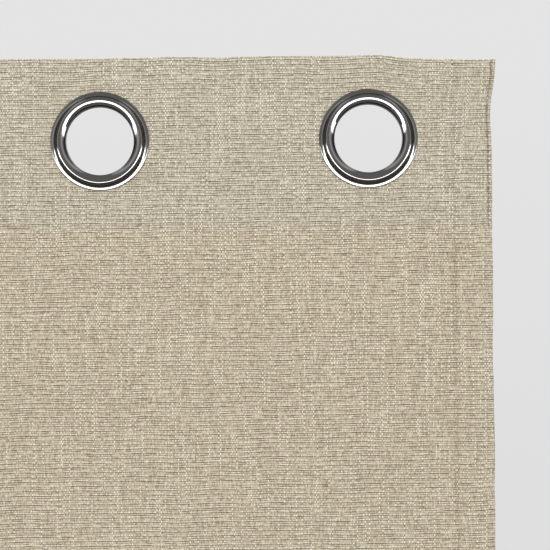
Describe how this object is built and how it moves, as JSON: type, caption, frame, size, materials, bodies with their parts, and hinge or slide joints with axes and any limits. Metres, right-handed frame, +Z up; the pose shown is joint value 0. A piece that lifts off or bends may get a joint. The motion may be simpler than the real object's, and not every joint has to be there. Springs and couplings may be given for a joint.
{
  "type": "eyelet curtain panel",
  "caption": "Flat window curtain of coarse slubbed cloth with a stiffened header, turned hems and dark metal eyelets for a rod, gathering in pleats.",
  "frame": {"origin": "on the eyelet line, halfway across the panel and halfway through the header's thickness; the top edge is at z = +51.5 mm and the hem at z = -2082.5 mm", "axes": "+X along the header to the right as seen from the room, +Y from the room to the window, +Z up"},
  "size_m": [1.318, 0.0079, 2.134],
  "materials": {
    "cloth": "natural beige slubbed linen-look plain weave, matt",
    "turned_cloth": "the same cloth turned over and stitched, as hems and header facing",
    "eyelet_metal": "polished black nickel plate on pressed steel",
    "stiffener": "white fused buckram strip",
    "label": "white satin ribbon, blank"
  },
  "bodies": {
    "return_edge": {"face_cloth_edge": "cloth", "header_stiffener_edge": "stiffener", "header_facing_edge": "turned_cloth", "bottom_hem_edge": "turned_cloth", "side_hem_right": "turned_cloth", "care_label": "label"},
    "pleat_1": {"face_cloth_1": "cloth", "header_stiffener_1": "stiffener", "header_facing_1": "turned_cloth", "bottom_hem_1": "turned_cloth", "eyelet_front_1": "eyelet_metal", "eyelet_back_1": "eyelet_metal"},
    "pleat_2": {"face_cloth_2": "cloth", "header_stiffener_2": "stiffener", "header_facing_2": "turned_cloth", "bottom_hem_2": "turned_cloth", "eyelet_front_2": "eyelet_metal", "eyelet_back_2": "eyelet_metal"},
    "pleat_3": {"face_cloth_3": "cloth", "header_stiffener_3": "stiffener", "header_facing_3": "turned_cloth", "bottom_hem_3": "turned_cloth", "eyelet_front_3": "eyelet_metal", "eyelet_back_3": "eyelet_metal"},
    "pleat_4": {"face_cloth_4": "cloth", "header_stiffener_4": "stiffener", "header_facing_4": "turned_cloth", "bottom_hem_4": "turned_cloth", "eyelet_front_4": "eyelet_metal", "eyelet_back_4": "eyelet_metal"},
    "pleat_5": {"face_cloth_5": "cloth", "header_stiffener_5": "stiffener", "header_facing_5": "turned_cloth", "bottom_hem_5": "turned_cloth", "eyelet_front_5": "eyelet_metal", "eyelet_back_5": "eyelet_metal"},
    "pleat_6": {"face_cloth_6": "cloth", "header_stiffener_6": "stiffener", "header_facing_6": "turned_cloth", "bottom_hem_6": "turned_cloth", "eyelet_front_6": "eyelet_metal", "eyelet_back_6": "eyelet_metal"},
    "pleat_7": {"face_cloth_7": "cloth", "header_stiffener_7": "stiffener", "header_facing_7": "turned_cloth", "bottom_hem_7": "turned_cloth", "eyelet_front_7": "eyelet_metal", "eyelet_back_7": "eyelet_metal"},
    "pleat_8": {"face_cloth_8": "cloth", "header_stiffener_8": "stiffener", "header_facing_8": "turned_cloth", "bottom_hem_8": "turned_cloth", "eyelet_front_8": "eyelet_metal", "eyelet_back_8": "eyelet_metal", "side_hem_left": "turned_cloth"}
  },
  "joints": [
    {"name": "fold_1", "type": "hinge", "parent": "return_edge", "child": "pleat_1", "pos_m": [0.62367, -0.0009, 0], "axis": [0, 0, 1], "range_deg": [0, 78]},
    {"name": "fold_2", "type": "hinge", "parent": "pleat_1", "child": "pleat_2", "pos_m": [0.4995, 0.0009, 0], "axis": [0, 0, 1], "range_deg": [-156, 0]},
    {"name": "fold_3", "type": "hinge", "parent": "pleat_2", "child": "pleat_3", "pos_m": [0.333, -0.0009, 0], "axis": [0, 0, 1], "range_deg": [0, 156]},
    {"name": "fold_4", "type": "hinge", "parent": "pleat_3", "child": "pleat_4", "pos_m": [0.1665, 0.0009, 0], "axis": [0, 0, 1], "range_deg": [-156, 0]},
    {"name": "fold_5", "type": "hinge", "parent": "pleat_4", "child": "pleat_5", "pos_m": [0, -0.0009, 0], "axis": [0, 0, 1], "range_deg": [0, 156]},
    {"name": "fold_6", "type": "hinge", "parent": "pleat_5", "child": "pleat_6", "pos_m": [-0.1665, 0.0009, 0], "axis": [0, 0, 1], "range_deg": [-156, 0]},
    {"name": "fold_7", "type": "hinge", "parent": "pleat_6", "child": "pleat_7", "pos_m": [-0.333, -0.0009, 0], "axis": [0, 0, 1], "range_deg": [0, 156]},
    {"name": "fold_8", "type": "hinge", "parent": "pleat_7", "child": "pleat_8", "pos_m": [-0.4995, 0.0009, 0], "axis": [0, 0, 1], "range_deg": [-156, 0]}
  ],
  "couplings": [
    {"joint": "fold_2", "follows": "fold_1", "ratio": -2},
    {"joint": "fold_3", "follows": "fold_1", "ratio": 2},
    {"joint": "fold_4", "follows": "fold_1", "ratio": -2},
    {"joint": "fold_5", "follows": "fold_1", "ratio": 2},
    {"joint": "fold_6", "follows": "fold_1", "ratio": -2},
    {"joint": "fold_7", "follows": "fold_1", "ratio": 2},
    {"joint": "fold_8", "follows": "fold_1", "ratio": -2}
  ]
}
